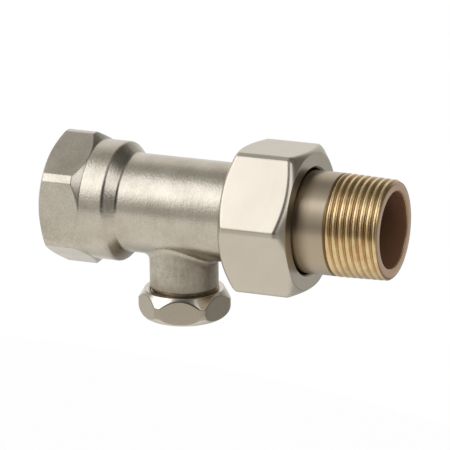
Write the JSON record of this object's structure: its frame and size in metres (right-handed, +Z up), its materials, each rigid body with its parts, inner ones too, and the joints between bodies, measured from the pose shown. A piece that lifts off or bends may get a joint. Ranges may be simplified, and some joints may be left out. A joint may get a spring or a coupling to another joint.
{
  "type": "lockshield radiator valve",
  "caption": "Straight lockshield radiator valve with a female pipe end, a hexagon blind cap over the regulating spindle, and a union nut with a male-threaded tailpiece.",
  "frame": {"origin": "centre of the inlet mouth, on the pipe axis", "axes": "+X along the pipe from the inlet to the radiator tail, +Z up, with the branch and its blind cap pointing down along -Z"},
  "size_m": [0.094, 0.042, 0.0489],
  "materials": {
    "nickel_plated_brass": "satin nickel plating on turned and forged brass",
    "tail_brass": "satin nickel neck, bare cut brass on the thread and in the bore",
    "spindle_brass": "bare turned brass",
    "seal_rubber": "smooth black rubber",
    "spring_steel": "plain spring steel",
    "gasket_fibre": "matte red-brown fibre"
  },
  "bodies": {
    "body": {"valve_body": "nickel_plated_brass", "spindle_stop_ring": "spring_steel"},
    "spindle_seals": {"spindle_seal_upper": "seal_rubber", "spindle_seal_lower": "seal_rubber", "seat_seal": "seal_rubber"},
    "spindle": {"regulating_spindle": "spindle_brass"},
    "cap_ring": {"cap_gasket": "gasket_fibre"},
    "cap": {"cap_nut": "nickel_plated_brass"},
    "union_ring": {"union_seal": "seal_rubber"},
    "tail": {"tailpiece": "tail_brass"},
    "nut": {"union_nut": "nickel_plated_brass"}
  },
  "joints": [
    {"name": "spindle_lift", "type": "slide", "parent": "body", "child": "spindle_seals", "axis": [0, 0, 1], "range_m": [0, 0.00295]},
    {"name": "spindle_turn", "type": "hinge", "parent": "spindle_seals", "child": "spindle", "pos_m": [0.035, 0, 0], "axis": [0, 0, 1], "range_deg": [0, 1065]},
    {"name": "cap_lift", "type": "slide", "parent": "body", "child": "cap_ring", "axis": [0, 0, -1], "range_m": [0, 0.005]},
    {"name": "cap_turn", "type": "hinge", "parent": "cap_ring", "child": "cap", "pos_m": [0.035, 0, 0], "axis": [0, 0, -1], "range_deg": [0, 1805]},
    {"name": "union_draw", "type": "slide", "parent": "body", "child": "union_ring", "axis": [1, 0, 0], "range_m": [0, 0.01154]},
    {"name": "nut_turn", "type": "hinge", "parent": "union_ring", "child": "nut", "pos_m": [0.0616, 0, 0], "axis": [1, 0, 0], "range_deg": [0, 1805]},
    {"name": "tail_swivel", "type": "hinge", "parent": "union_ring", "child": "tail", "pos_m": [0.0616, 0, 0], "axis": [1, 0, 0], "continuous": true}
  ],
  "couplings": [
    {"joint": "spindle_turn", "follows": "spindle_lift", "rad_per_m": 6283.2},
    {"joint": "cap_turn", "follows": "cap_lift", "rad_per_m": 6283.2},
    {"joint": "nut_turn", "follows": "union_draw", "rad_per_m": 2721.2}
  ]
}
